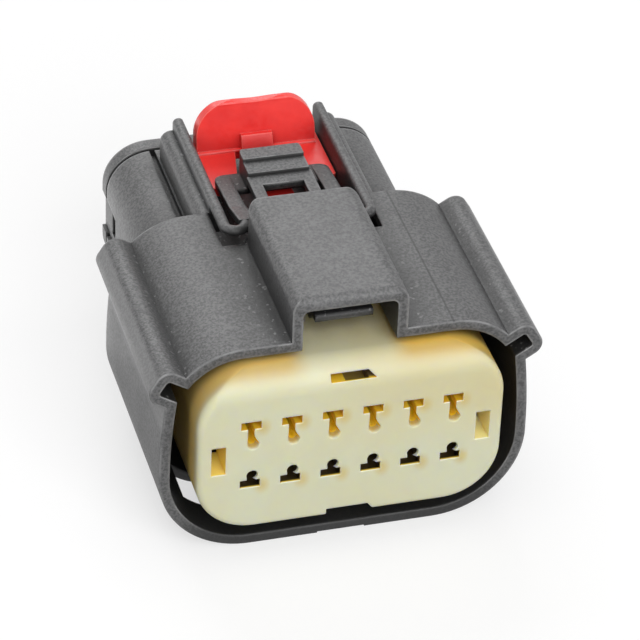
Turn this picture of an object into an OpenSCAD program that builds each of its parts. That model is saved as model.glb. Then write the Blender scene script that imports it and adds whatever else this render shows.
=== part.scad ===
// Sealed two-row wire-to-wire connector, socket half, as sold without contacts.
// X runs across the width, the mating face looks towards -Y and +Z is up.
// Every module below works from the middle of the mating face: y is the depth behind
// the terminal lock's face, and z is the height above the plane between the two rows.

/* [Contact grid] */
// Distance between neighbouring contacts
pitch = 3.5; // [3.3:0.1:4.5]
// Contacts in each of the two rows
ways = 6; // [4:1:8]
// Height of a cavity's centre above or below the middle
row_z = 2.15; // [1.9:0.05:2.6]
// Width of a contact cavity
cavity_w = 2.3; // [1.8:0.1:2.6]
// Height of a contact cavity
cavity_h = 2.9; // [2.4:0.1:3.2]

/* [Terminal lock] */
// Plastic outside the contact grid at each side
lock_margin = 2.8; // [2.6:0.1:4]
// Height of the lock's block
lock_h = 15.6; // [15:0.1:18]
// Corner radius of the block, seen from the front
lock_r = 5; // [3.5:0.25:6]
// Length of the block from front to back
lock_len = 9.5; // [8.5:0.25:10]
// Rounding of the front edge
lock_edge = 0.6; // [0.3:0.1:1.1]
// Radius of the brow along the upper front edge
lock_brow = 2.4; // [1.2:0.1:2.6]
// Thickness of the front wall
lock_front = 3.2; // [2.4:0.1:3.6]
// Thickness of the skin in front of the lower cavities and the key slot's hollow
lock_skin = 0.3; // [0.25:0.05:1]
// Depth of the room under the lower cavities, behind that skin
lock_room = 0.8; // [0.5:0.1:1.2]
// Thickness of the skirt
skirt_wall = 1.15; // [0.9:0.05:1.4]
// Travel from the open to the locked position
lock_travel = 1.6; // [0.8:0.1:1.8]

/* [Contact slots] */
// Distance of a slot's outer edge from the middle
slot_out = 3.42; // [3.2:0.02:3.6]
// Width of the slot's bar
bar_w = 1.75; // [1.2:0.05:2.2]
// Height of the slot's bar
bar_h = 0.78; // [0.6:0.02:1]
// Width of the slot's stem
stem_w = 0.58; // [0.3:0.02:0.7]
// Height over which an upper slot's stem widens to its lead-in cone
stem_flare = 0.9; // [0.6:0.05:1]
// Diameter of the pin's lead-in cone at the face
lead_d = 1.05; // [0.9:0.05:1.5]
// Diameter of the pin hole behind the cone
pin_hole_d = 0.65; // [0.55:0.05:0.85]
// Depth of the lead-in cone
lead_depth = 0.6; // [0.4:0.1:1.5]
// Distance of the upper row's pin holes above the middle
upper_lead = 1.05; // [0.9:0.05:1.4]
// Distance of the lower row's pin holes below the middle
lower_lead = 2.2; // [2:0.05:2.4]
// Distance of a pin hole to the right of its bar's middle
lead_aside = 0.2; // [0:0.05:0.4]

/* [Lock face] */
// Width of each probe slot at the sides
probe_w = 1.25; // [0.8:0.05:1.5]
// Height of each probe slot
probe_h = 2.85; // [2:0.05:4]
// Distance of a probe slot's lower end below the middle
probe_low = 1.7; // [1.2:0.05:2.2]
// Distance from the block's side to the probe slot's middle
probe_inset = 1.8; // [1.8:0.05:2]
// Width of the key slot
key_w = 3.95; // [3:0.05:5]
// Height of the key slot
key_h = 0.66; // [0.5:0.01:0.9]
// Distance from the block's top to the key slot
key_inset = 0.92; // [0.8:0.02:1.1]
// Width of the ledge at the key slot's left end
key_ledge = 1.25; // [0.8:0.05:1.6]
// Depth of the hollow below the rest of the key slot
key_drop = 0.9; // [0.6:0.05:1]
// Thickness of the skin behind the key slot
key_skin = 0.3; // [0.2:0.05:0.8]
// Width of the key notch at the underside
notch_w = 4.3; // [3.5:0.05:5]
// Depth of the key notch in the underside
notch_h = 0.85; // [0.4:0.05:1]
// Slant of the key slot's and the notch's right end
key_slant = 0.65; // [0.3:0.05:1]

/* [Shroud] */
// Wall thickness of the shroud, the wings and the roof
wall = 0.9; // [0.7:0.05:1.1]
// Room beside the terminal lock for the mating half
mate_gap = 1.9; // [1.6:0.1:2.4]
// Room under the terminal lock
floor_gap = 2.3; // [1.6:0.1:2.6]
// Room over the terminal lock
roof_gap = 0.85; // [0.75:0.05:1.3]
// Depth of the shroud's rim behind the lock's face
rim_y = 1.9; // [1.2:0.1:2.6]
// Depth of the shroud's rear face
shroud_y = 22; // [21.5:0.25:23]
// Thickness of the wall that closes the shroud at the rear
flange = 1.4; // [1:0.1:2]
// Radius of the lower corners
floor_r = 8; // [6:0.25:8.5]
// Radius of the bowed upper part of the sides
side_bow_r = 60; // [50:1:90]
// Radius of the roof's rounded shoulders
roof_r = 6.75; // [6.5:0.05:7]
// Distance from the side to the start of the roof's shoulder
shoulder_in = 7.1; // [7:0.05:7.3]
// Length of the windows in the lower corners
window_len = 4.6; // [2:0.1:5]
// Width of those windows
window_w = 3; // [2:0.1:3.5]
// Distance of the windows from the shroud's sides
window_in = 3.1; // [2.6:0.1:3.6]
// Distance of the windows from the shroud's rim
window_set = 3.9; // [3:0.1:6]
// Depth of the shallow panel in the underside
panel_depth = 0.12; // [0.05:0.01:0.2]
// Width of that panel
panel_w = 4.2; // [3:0.1:6]

/* [Keying wings] */
// Angle of the wings above the horizontal
wing_angle = 32; // [28:1:36]
// Width of a wing across its tip
wing_w = 3.3; // [3.1:0.05:3.5]
// Distance of the wing's upper corner inside the shroud's side
wing_in = 0.4; // [0.3:0.02:0.6]
// Distance of that corner below the roof
wing_drop = 1.01; // [0.9:0.02:1.1]
// Radius of the wing's two outer corners
wing_r = 1.2; // [0.5:0.05:1.3]

/* [Hood] */
// Outer width of the hood
hood_w = 9.94; // [9.6:0.02:10.2]
// Height of the hood above the roof
hood_rise = 4.05; // [3.8:0.05:4.5]
// Thickness of the hood's sides
hood_wall = 0.9; // [0.7:0.05:1]
// Thickness of the hood's top
hood_top = 1.1; // [0.8:0.05:1.3]
// Radius of the hood's long upper edges
hood_r = 1.1; // [0.6:0.05:1.3]
// Radius of the hood's front upper edge
hood_edge = 0.65; // [0.2:0.05:0.8]
// Radius of the hood's rear corners
hood_rear_r = 1.2; // [0.8:0.05:1.4]
// Length of the hood
hood_len = 15.6; // [14.5:0.1:16]

/* [Rear body] */
// Distance of the rear body's top below the roof
body_step = 2.85; // [2.6:0.05:3]
// Distance of the rear body's sides inside the terminal lock's
body_in = 0.65; // [0.4:0.05:0.9]
// Corner radius of the rear body
body_r = 4; // [3:0.1:5]
// Wall round the rear pocket
body_wall = 1.5; // [1.4:0.05:1.8]
// Length of the rear body behind the shroud
body_len = 14.9; // [14:0.1:16]
// Width of the strip between a rail's foot and the shadow groove
groove_set = 0.15; // [0.1:0.01:0.3]
// Width of the shadow groove beside each rail
groove_w = 0.5; // [0.2:0.05:0.7]
// Depth of the shadow groove
groove_depth = 0.6; // [0.2:0.05:0.7]

/* [Guard rails] */
// Distance of a rail's inner side from the middle
rail_in = 6; // [5.9:0.02:6.1]
// Width of a rail
rail_w = 2.12; // [1.9:0.02:2.4]
// Radius of a rail's outer edge
rail_edge = 1; // [0.4:0.05:1.1]
// Length of the rails behind the shroud
rail_len = 13.5; // [12.5:0.1:14]
// Thickness of the rib on top of each rail
rib_w = 0.97; // [0.7:0.01:1.1]
// Height of the rib above the roof
rib_rise = 1.2; // [1:0.02:1.4]
// Radius of the rib's upper edges
rib_edge = 0.45; // [0.1:0.01:0.5]
// Half the slot between the rib and its spring arm
bend_gap = 0.41; // [0.3:0.01:0.5]
// Distance of the bend's centre behind the hood
bend_set = 1.15; // [0.9:0.05:1.4]
// Thickness of the bend from top to underside
bend_t = 0.62; // [0.55:0.02:1]
// Room for the bend in the roof's notch
bend_room = 0.5; // [0.3:0.05:0.8]

/* [Latch] */
// Width of the lever
lever_w = 5.8; // [5.4:0.05:6]
// Width of the lever's nose
nose_w = 5; // [4.5:0.1:5.4]
// Distance of the nose behind the shroud's rim
nose_set = 1.9; // [1:0.1:2.6]
// Drop of the nose below the rest of the lever
nose_dip = 0.2; // [0.1:0.05:0.4]
// Height of the lever's top above the roof at the window
lever_rise = 1.25; // [1.1:0.01:1.4]
// Thickness of the lever
lever_t = 0.65; // [0.5:0.05:1]
// Length of the lever behind the shroud
lever_out = 6.6; // [6:0.1:7]
// Length of the window in the lever
lever_window_len = 1.9; // [1.2:0.1:2.2]
// Width of the window in the lever
lever_window_w = 3.7; // [3:0.1:4]
// Width of the bar between the window and the thumb pad
window_bar = 1.5; // [1:0.1:2]
// Length of each step of the thumb pad
pad_step = 1.85; // [1.6:0.05:2]
// Rise of each step of the thumb pad
pad_rise = 0.3; // [0.2:0.02:0.5]
// Width of the thumb pad
pad_w = 5.5; // [5:0.05:5.8]
// Radius of the thumb pad's rear corners
pad_corner = 0.7; // [0.3:0.05:1.2]
// Width of a spring arm
arm_w = 1.42; // [1.2:0.02:1.5]
// Radius of a spring arm's outer rear corner
arm_corner = 0.95; // [0.5:0.05:1.1]
// Height of a spring arm's top above the roof at the shroud's rear face
arm_rise = 0.3; // [0.2:0.02:0.4]
// Length of the spring arms beside the thumb pad
arm_over = 3; // [2.6:0.05:3.2]
// Thickness of the spring arms at their rear ends
arm_t = 0.5; // [0.4:0.02:0.6]
// Length of the bridge from each arm to the lever
bridge_len = 2.6; // [2:0.1:2.7]

/* [Position lock] */
// Travel of the position lock
slider_travel = 2; // [1:0.1:2.2]
// Height of the slider's base above the rear body
slider_h = 1.9; // [1.7:0.05:2.1]
// Thickness of the slider's base
slider_t = 0.9; // [0.7:0.02:1]
// Width of the skirt under each side of the base
skirt_w = 0.9; // [0.6:0.05:1.2]
// Distance of the thumb plate's foot from the rear body's end
plate_in = 4.45; // [4:0.05:5]
// Distance of the thumb plate's sides inside the base's
plate_set = 0.4; // [0.2:0.05:0.6]
// Thickness of the thumb plate at its foot
plate_foot = 1.5; // [1.2:0.1:2]
// Thickness of the thumb plate at its top
plate_t = 0.8; // [0.7:0.05:1.2]
// Height of the thumb plate above the roof
plate_rise = 3.55; // [3:0.05:4]
// Lean of the thumb plate's front from foot to top
plate_lean = 1; // [0.6:0.1:1.6]
// Radius of the thumb plate's upper corners
plate_r = 3.1; // [2:0.1:3.2]
// Radius of the thumb plate's top edges
plate_edge = 0.34; // [0.2:0.02:0.35]
// Dip in the middle of the thumb plate's top
plate_dip = 0.2; // [0.05:0.01:0.3]
// Radius of the bead along the thumb plate's foot
foot_bead = 0.22; // [0.1:0.02:0.35]
// Length of the wings in front of the thumb plate
wing_reach = 5.5; // [5:0.1:6]
// Gap between a wing and the tongue at the thumb plate
wing_gap = 0.55; // [0.3:0.05:0.8]
// Width of the tongue under the lever
tongue_w = 2.86; // [2:0.02:3]
// Length of the tongue in front of the thumb plate
tongue_reach = 9.9; // [9:0.1:10.5]
// Height of the block at the tongue's root above the base
block_rise = 1.5; // [0.8:0.05:1.8]
// Slope of that block's front
block_run = 0.7; // [0.1:0.05:0.9]
// Height of the guide flanges
flange_h = 0.5; // [0.4:0.02:0.6]
// Reach of the guide flanges into the rails
flange_reach = 0.35; // [0.2:0.05:0.4]

/* [Rear cap] */
// Width of the shadow gap in front of the cap
cap_gap = 0.36; // [0.2:0.02:0.5]
// Thickness of the cap's plate
cap_t = 1.46; // [0.8:0.02:1.8]
// Length of the plug that presses on the mat seal
plug_len = 1.4; // [1:0.1:1.6]
// Diameter of a wire hole in the cap
wire_d = 2.6; // [2.2:0.1:2.8]
// Width of a clip on the cap's side
clip_w = 3.8; // [3:0.1:4.4]
// Thickness of a clip
clip_t = 0.6; // [0.5:0.02:0.65]
// Length of a clip
clip_len = 3.7; // [3:0.1:4]
// Depth of a clip's outer face below the body's side
clip_sink = 0.3; // [0.2:0.02:0.35]
// Length of the catch that holds a clip
catch_len = 0.9; // [0.6:0.05:1]
// Width of that catch
catch_w = 1.8; // [1.2:0.1:2]

/* [Seals] */
// Length of the ring seal
ring_len = 4.8; // [4:0.1:5.2]
// Thickness of the ring seal between its lips
ring_t = 1.1; // [0.9:0.05:1.2]
// Height of the ring seal's lips
ring_lip = 0.35; // [0.2:0.05:0.45]
// Thickness of the mat seal
mat_t = 5.2; // [4.5:0.1:5.4]
// Depth of the grooves between the mat seal's lips
mat_groove = 0.3; // [0.2:0.05:0.4]
// Diameter of a wire hole at the mat seal's lips
mat_lip_d = 1.5; // [1.2:0.05:1.7]
// Diameter of a wire hole between the lips
mat_hole_d = 2; // [1.8:0.05:2.2]
// Length of each lip along the seals
lip_len = 0.8; // [0.6:0.05:0.9]

/* [Fits] */
// Clearance of a sliding piece, on each side
slide_fit = 0.15; // [0.1:0.01:0.2]
// Clearance of a piece that stays in its seat
seat_fit = 0.06; // [0.03:0.01:0.08]

/* [Hidden] */
$fn = 64;
over = 1;
charcoal = [0.24, 0.24, 0.25];
cream = [0.86, 0.83, 0.70];
red = [0.83, 0.13, 0.12];
silicone = [0.36, 0.37, 0.36];

lock_w = ways * pitch + 2 * lock_margin;
lock_top = lock_h / 2;
tower_w = lock_w - 2 * (skirt_wall + slide_fit);
tower_h = lock_h - 2 * (skirt_wall + slide_fit);
tower_r = lock_r - skirt_wall - slide_fit;
tower_y = lock_front + lock_travel + slide_fit;

side_x = lock_w / 2 + mate_gap + wall;
floor_z = -(lock_top + floor_gap + wall);
roof_z = lock_top + roof_gap + wall;
corner_z = floor_z + floor_r;
roof_flat = side_x - shoulder_in;
cavity_end_y = shroud_y - flange;
wing_len = wing_w + wall;
sill_z = roof_z - wing_drop - wing_w;

body_y = shroud_y + body_len;
body_w = lock_w - 2 * body_in;
body_top = roof_z - body_step;
body_h = 2 * body_top;
pocket_w = body_w - 2 * body_wall;
pocket_h = body_h - 2 * body_wall;
pocket_r = body_r - body_wall;
hood_y = rim_y + hood_len;
hood_z = roof_z + hood_rise;
mouth_w = hood_w - 2 * hood_wall;
mouth_r = hood_r / 2;
window_y = rim_y + window_set;
window_x = side_x - window_in;

rail_out = rail_in + rail_w;
rail_end = shroud_y + rail_len;
bend_x = rail_in - bend_gap;
bend_y = hood_y + bend_set;
bend_r = bend_gap + rib_w;
roof_notch_y = bend_y - bend_r - bend_room;
rib_top = roof_z + rib_rise;
bend_under = rib_top - bend_t;
notch_x = bend_x + bend_r + slide_fit;

slider_z = body_top + slide_fit / 2;
slider_top = body_top + slider_h;
slider_x = rail_in - slide_fit;
plate_x = slider_x - plate_set;
plate_y = body_y - plate_in;
plate_back = plate_y + plate_foot;
plate_top = roof_z + plate_rise;
slider_front = plate_y - wing_reach;
tongue_y = plate_y - tongue_reach;
block_z = slider_top + block_rise;

pad_end = shroud_y + lever_out;
pad_y = pad_end - 2 * pad_step;
arm_y = pad_y + arm_over;
arm_out = bend_x - bend_gap;
arm_in = arm_out - arm_w;
arm_under = slider_top + slide_fit;
arm_top = arm_under + arm_t;
arm_knee = roof_z + arm_rise;
nose_y = rim_y + nose_set;
lever_window_y = pad_y - window_bar - lever_window_len;
lever_top = roof_z + lever_rise;
lever_under = lever_top - lever_t;
nose_top = lever_top - nose_dip;
nose_under = lever_under - nose_dip;
catch_under = roof_z - wall / 2;

cap_y = body_y + cap_gap;
overall_len = cap_y + cap_t;
plug_y = cap_y - plug_len;
mat_y = plug_y - seat_fit - mat_t;
pocket_y = mat_y - seat_fit;
ring_y = lock_len + lock_travel + slide_fit;
clip_x = body_w / 2 - clip_sink;
clip_y = cap_y - clip_len;
catch_y = clip_y + clip_len / 3;
recess_x = clip_x - clip_t - slide_fit / 2;
key_depth = lock_front - key_skin;
key_z = lock_top - key_inset - key_h;

// Centres of the contact cavities, as [x, z]
contacts = [for (row = [-1, 1], i = [0 : ways - 1]) [(i - (ways - 1) / 2) * pitch, row * row_z]];

// From the mating face's middle to the part's own origin, under its middle
module stand() {
    translate([0, -overall_len / 2, -floor_z]) children();
}

// A front-view outline (x, z), pushed from depth y0 to depth y1
module along_y(y0, y1) {
    translate([0, y1, 0]) rotate([90, 0, 0]) linear_extrude(y1 - y0) children();
}

// A side-view outline (y, z), pushed from x0 to x1
module along_x(x0, x1) {
    translate([x0, 0, 0]) rotate([90, 0, 90]) linear_extrude(x1 - x0) children();
}

// A plan outline (x, y), pushed from z0 to z1
module along_z(z0, z1) {
    translate([0, 0, z0]) linear_extrude(z1 - z0) children();
}

// Both sides of the part
module both_sides() {
    children();
    mirror([1, 0, 0]) children();
}

// Rounded rectangle round the origin
module rounded(w, h, r) {
    square([w, h - 2 * r], center = true);
    square([w - 2 * r, h], center = true);
    for (x = [-1, 1], y = [-1, 1])
        translate([x * (w / 2 - r), y * (h / 2 - r)]) circle(r);
}

// Strip of width w from y = 0 to y = len, with both corners at y = 0 rounded
module soft_strip(w, len, edge) {
    translate([-w / 2, edge]) square([w, len - edge]);
    translate([edge - w / 2, 0]) square([w - 2 * edge, len]);
    for (x = [-1, 1])
        translate([x * (w / 2 - edge), edge]) circle(edge);
}

// Rounded block with a soft front edge, front face at y = 0
module soft_block(w, h, r, len, edge) {
    flat_w = w / 2 - r;
    flat_h = h / 2 - r;
    along_z(-flat_h, flat_h) soft_strip(w, len, edge);
    for (z = [0, 1]) mirror([0, 0, z])
        intersection() {
            rotate([0, 90, 0]) along_z(-flat_w, flat_w) soft_strip(h, len, edge);
            translate([-flat_w, 0, flat_h]) cube([2 * flat_w, len, r]);
        }
    for (x = [0, 1], z = [0, 1]) mirror([x, 0, 0]) mirror([0, 0, z])
        translate([flat_w, 0, flat_h]) rotate([-90, -90, 0]) rotate_extrude(angle = 90)
            intersection() {
                soft_strip(2 * r, len, edge);
                square([r, len]);
            }
}

// Shroud outlines, drawn inset by t

// Floor and sides: rounded lower corners, sides bowed in towards the wings
module floor_outline(t) {
    intersection() {
        union() {
            translate([t - side_x, corner_z]) square([2 * (side_x - t), sill_z + wall - corner_z]);
            translate([floor_r - side_x, floor_z + t])
                square([2 * (side_x - floor_r), floor_r]);
            for (x = [-1, 1])
                translate([x * (side_x - floor_r), corner_z]) circle(floor_r - t);
        }
        translate([side_bow_r - side_x, corner_z]) circle(side_bow_r - t, $fn = 256);
        translate([side_x - side_bow_r, corner_z]) circle(side_bow_r - t, $fn = 256);
    }
}

// Roof: flat in the middle, with rounded shoulders
module roof_outline(t) {
    translate([-roof_flat, 0]) square([2 * roof_flat, roof_z - t]);
    for (x = [-1, 1])
        translate([x * roof_flat, roof_z - roof_r]) circle(roof_r - t);
}

// Keying wing on the right: a slanted tongue with rounded outer corners
module wing_outline(t) {
    r = max(wing_r - t, wall / 5);
    translate([side_x - wing_in, roof_z - wing_drop]) rotate(wing_angle) {
        translate([-wing_len, t + r - wing_w]) square([wing_len - t, wing_w - 2 * (t + r)]);
        translate([-wing_len, t - wing_w]) square([wing_len - t - r, wing_w - 2 * t]);
        for (z = [-t - r, t + r - wing_w])
            translate([-t - r, z]) circle(r);
    }
}

module shroud_outline(t) {
    floor_outline(t);
    roof_outline(t);
    both_sides() wing_outline(t);
}

module shroud() {
    difference() {
        along_y(rim_y, shroud_y) shroud_outline(0);
        along_y(rim_y - over, cavity_end_y) shroud_outline(wall);
        both_sides()
            translate([window_x - window_w, window_y, floor_z - over])
                cube([window_w, window_len, over + floor_gap + wall]);
        translate([-panel_w / 2, 0, floor_z - over]) cube([panel_w, shroud_y + over, over + panel_depth]);
    }
}

// Hood over the latch, rounded along its top, its front edge and its rear corners
module hood() {
    foot = roof_z - wall;
    intersection() {
        along_y(rim_y, hood_y) {
            translate([-hood_w / 2, foot]) square([hood_w, hood_z - hood_r - foot]);
            translate([hood_r - hood_w / 2, foot]) square([hood_w - 2 * hood_r, hood_z - foot]);
            for (x = [-1, 1])
                translate([x * (hood_w / 2 - hood_r), hood_z - hood_r]) circle(hood_r);
        }
        along_x(-hood_w, hood_w) {
            translate([rim_y + hood_edge, foot]) square([hood_y - rim_y, hood_z - foot]);
            translate([rim_y, foot]) square([hood_y - rim_y, hood_z - hood_edge - foot]);
            translate([rim_y + hood_edge, hood_z - hood_edge]) circle(hood_edge);
        }
        along_z(foot, hood_z)
            translate([0, hood_y]) mirror([0, 1]) soft_strip(hood_w, hood_y - rim_y, hood_rear_r);
    }
}

// Room inside the hood for the latch, open at the front, at the rear and downwards
module hood_mouth() {
    mouth_z = hood_z - hood_top;
    along_y(rim_y - over, shroud_y + over) {
        translate([-mouth_w / 2, body_top]) square([mouth_w, mouth_z - mouth_r - body_top]);
        translate([mouth_r - mouth_w / 2, body_top])
            square([mouth_w - 2 * mouth_r, mouth_z - body_top]);
        for (x = [-1, 1])
            translate([x * (mouth_w / 2 - mouth_r), mouth_z - mouth_r]) circle(mouth_r);
    }
}

// Notch in the roof behind the hood and under the bends of the ribs
module roof_notch() {
    translate([-hood_w / 2, hood_y, body_top])
        cube([hood_w, shroud_y - hood_y, roof_z + over - body_top]);
    both_sides()
        translate([hood_w / 2, roof_notch_y, body_top])
            cube([notch_x - hood_w / 2, shroud_y - roof_notch_y, roof_z + over - body_top]);
}

// Tower that the terminal lock slides over
module tower() {
    along_y(tower_y, shroud_y) rounded(tower_w, tower_h, tower_r);
}

module rear_body() {
    along_y(cavity_end_y, body_y) rounded(body_w, body_h, body_r);
}

// Everything cut out of the tower and the rear body
module body_cuts() {
    for (c = contacts)
        translate([c[0] - cavity_w / 2, tower_y - over, c[1] - cavity_h / 2])
            cube([cavity_w, pocket_y + 2 * over - tower_y, cavity_h]);
    along_y(pocket_y, body_y + over) rounded(pocket_w, pocket_h, pocket_r);
    both_sides() {
        translate([rail_out + groove_set, shroud_y, body_top - groove_depth])
            cube([groove_w, body_len + over, groove_depth + over]);
        translate([recess_x, clip_y - slide_fit, -clip_w / 2 - slide_fit])
            cube([body_w, clip_len + over, clip_w + 2 * slide_fit]);
    }
}

// Wedge on the body's side that a clip of the rear cap snaps over
module clip_catch() {
    along_z(-catch_w / 2, catch_w / 2)
        polygon([[recess_x - clip_sink, catch_y],
                 [clip_x - clip_t / 4, catch_y],
                 [clip_x - clip_t / 2, catch_y + catch_len],
                 [recess_x - clip_sink, catch_y + catch_len]]);
}

// Front view of the right rail, from height foot to the roof's height
module rail_outline(foot) {
    translate([rail_in, foot]) square([rail_w, roof_z - rail_edge - foot]);
    translate([rail_in, foot]) square([rail_w - rail_edge, roof_z - foot]);
    translate([rail_out - rail_edge, roof_z - rail_edge]) circle(rail_edge);
}

// Rail on the right of the latch, with the groove that guides the position lock
module rail() {
    groove_top = slider_z + flange_h + slide_fit;
    difference() {
        along_y(shroud_y - flange, rail_end) rail_outline(body_top - body_wall / 2);
        translate([rail_in - over, shroud_y, body_top])
            cube([over + flange_reach, rail_end + over - shroud_y, groove_top - body_top]);
    }
}

// Cross-section of the rib above height foot, as distance from the slot's middle and height
module rib_section(foot) {
    r = min(rib_edge, 0.48 * rib_w);
    intersection() {
        translate([bend_gap, foot]) square([rib_w, rib_top - foot]);
        union() {
            translate([bend_gap, body_top]) square([rib_w, rib_top - r - body_top]);
            translate([bend_gap + r, body_top]) square([rib_w - 2 * r, rib_top - body_top]);
            for (x = [bend_gap + r, bend_r - r])
                translate([x, rib_top - r]) circle(r);
        }
    }
}

// Rib on the right rail, which bends round at its front into the spring arm
module rib() {
    translate([bend_x, 0, 0]) {
        along_y(bend_y, rail_end) rib_section(bend_under);
        along_y(shroud_y, rail_end) rib_section(roof_z - rail_edge);
        translate([0, bend_y, 0]) rotate(180) rotate_extrude(angle = 180) rib_section(bend_under);
    }
}

// Spring arm on the right in plan: as wide as the bend at its front, with a round rear corner
module arm_plan() {
    round_x = arm_out - arm_corner;
    round_y = arm_y - arm_corner;
    polygon([[arm_out, bend_y], [bend_x - bend_r, bend_y], [arm_in, bend_y + arm_w], [arm_in, arm_y],
             [round_x, arm_y], [round_x, round_y], [arm_out, round_y]]);
    translate([round_x, round_y])
        intersection() {
            circle(arm_corner);
            square(arm_corner);
        }
}

// Spring arm on the right, falling from the bend to the lever's bridge
module spring_arm() {
    intersection() {
        along_x(0, bend_x)
            polygon([[bend_y, rib_top], [shroud_y, arm_knee], [arm_y, arm_top], [arm_y, arm_under],
                     [shroud_y, arm_knee - bend_t], [bend_y, bend_under]]);
        along_z(body_top, hood_z) arm_plan();
    }
    translate([0, arm_y - bridge_len, arm_under])
        cube([arm_in + arm_w / 4, bridge_len, arm_t]);
}

// Latch lever in side view: nose and catch at the front, stepped thumb pad at the rear
module lever_side() {
    pad_top = lever_top + 2 * pad_rise;
    pad_under = arm_top + pad_rise;
    pad_back = pad_end - pad_rise;
    soft = pad_rise / 2;
    polygon([[nose_y, nose_under], [nose_y, nose_top - soft], [nose_y + soft, nose_top],
             [hood_y, lever_top], [pad_y, lever_top], [pad_y, lever_top + pad_rise],
             [pad_y + pad_step, lever_top + pad_rise], [pad_y + pad_step, pad_top],
             [pad_back, pad_top], [pad_back, pad_under],
             [arm_y - bridge_len / 2, arm_under], [arm_y - bridge_len, arm_under],
             [arm_y - bridge_len - lever_t, lever_under], [hood_y, lever_under]]);
    translate([pad_back, pad_top - pad_rise]) circle(pad_rise);
    translate([pad_back - pad_rise, pad_under])
        square([2 * pad_rise, pad_top - pad_rise - pad_under]);
    polygon([[nose_y + wall, nose_top - soft], [nose_y + wall, nose_under],
             [nose_y + 2 * wall, catch_under], [nose_y + 3 * wall, catch_under],
             [nose_y + 3 * wall, nose_top - soft]]);
}

// The lever in plan: a narrower nose, the lever, and the thumb pad with round rear corners
module lever_plan() {
    shoulder = nose_y + 4 * wall;
    translate([-nose_w / 2, nose_y]) square([nose_w, shoulder - nose_y]);
    translate([-lever_w / 2, shoulder]) square([lever_w, pad_y - shoulder]);
    translate([0, pad_end]) mirror([0, 1]) soft_strip(pad_w, pad_end - pad_y, pad_corner);
}

module latch_lever() {
    difference() {
        intersection() {
            along_x(-lever_w / 2, lever_w / 2) lever_side();
            along_z(body_top, hood_z) lever_plan();
        }
        translate([-lever_window_w / 2, lever_window_y, body_top])
            cube([lever_window_w, lever_window_len, hood_z - body_top]);
    }
}

module housing() {
    color(charcoal) stand() {
        difference() {
            union() {
                shroud();
                hood();
                tower();
                rear_body();
                both_sides() rail();
            }
            hood_mouth();
            roof_notch();
            body_cuts();
        }
        both_sides() {
            clip_catch();
            rib();
            spring_arm();
        }
        latch_lever();
    }
}

// Outline of a contact slot above the middle: bar, stem and pin hole at height lead
module slot_outline(lead) {
    translate([-bar_w / 2, slot_out - bar_h]) square([bar_w, bar_h]);
    translate([-stem_w / 2, lead]) square([stem_w, slot_out - lead - bar_h / 2]);
    translate([lead_aside, lead]) circle(d = pin_hole_d);
}

// Foot of an upper slot's stem, as wide as the lead-in cone at its middle
module stem_foot() {
    polygon([[-stem_w / 2, upper_lead + stem_flare], [stem_w / 2, upper_lead + stem_flare],
             [lead_aside + lead_d / 2, upper_lead], [lead_aside - lead_d / 2, upper_lead]]);
}

// One contact slot, with its lead-in cone
module contact_slot(lead) {
    along_y(-over, lock_front + over) slot_outline(lead);
    translate([lead_aside, 0, lead]) rotate([-90, 0, 0])
        cylinder(d1 = lead_d, d2 = pin_hole_d, h = lead_depth);
}

// Keyed opening of height h from x0 to x1, slanted at its right end and carried down by room
module key_outline(x0, x1, h, room) {
    polygon([[x0, -room], [x1, -room], [x1, 0], [x1 - key_slant, h], [x0, h]]);
}

module lock_face_cuts() {
    for (c = contacts)
        translate([c[0], 0, 0])
            if (c[1] > 0) {
                contact_slot(upper_lead);
                along_y(-over, lock_front + over) stem_foot();
            } else {
                mirror([0, 0, 1]) contact_slot(lower_lead);
                translate([-cavity_w / 2, lock_skin, c[1] - cavity_h / 2 - lock_room])
                    cube([cavity_w, lock_front + over - lock_skin, cavity_h + lock_room]);
            }
    both_sides()
        translate([lock_w / 2 - probe_inset - probe_w / 2, -over, -probe_low])
            cube([probe_w, lock_front + 2 * over, probe_h]);
    along_y(-over, key_depth) translate([0, key_z])
        key_outline(-key_w / 2, key_w / 2, key_h, 0);
    translate([key_ledge - key_w / 2, lock_skin, key_z - key_drop])
        cube([key_w - key_ledge - key_slant, key_depth - lock_skin, key_drop + key_h / 2]);
    along_y(-over, lock_len + over) translate([0, -lock_top])
        key_outline(-key_w / 2, notch_w - key_w / 2, notch_h, over);
}

// What the brow along the lock's upper front edge leaves off
module brow_cut() {
    along_x(-lock_w, lock_w)
        difference() {
            translate([-over, lock_top - lock_brow]) square([over + lock_brow, over + lock_brow]);
            translate([lock_brow, lock_top - lock_brow]) circle(lock_brow);
        }
}

module terminal_lock() {
    color(cream) stand() difference() {
        soft_block(lock_w, lock_h, lock_r, lock_len, lock_edge);
        brow_cut();
        along_y(lock_front, lock_len + over)
            rounded(lock_w - 2 * skirt_wall, lock_h - 2 * skirt_wall, lock_r - skirt_wall);
        lock_face_cuts();
    }
}

// Thumb plate of the position lock in side view, leaning back to a rounded top
module plate_side() {
    top_y = plate_y + plate_lean;
    tip = plate_top - plate_edge;
    polygon([[plate_y, slider_top - slider_t], [plate_y, slider_top], [top_y, tip],
             [top_y + plate_t, tip], [plate_back, slider_top], [plate_back, slider_top - slider_t]]);
    translate([top_y + plate_edge, tip]) square([plate_t - 2 * plate_edge, plate_edge]);
    for (y = [top_y + plate_edge, top_y + plate_t - plate_edge])
        translate([y, tip]) circle(plate_edge);
}

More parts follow.
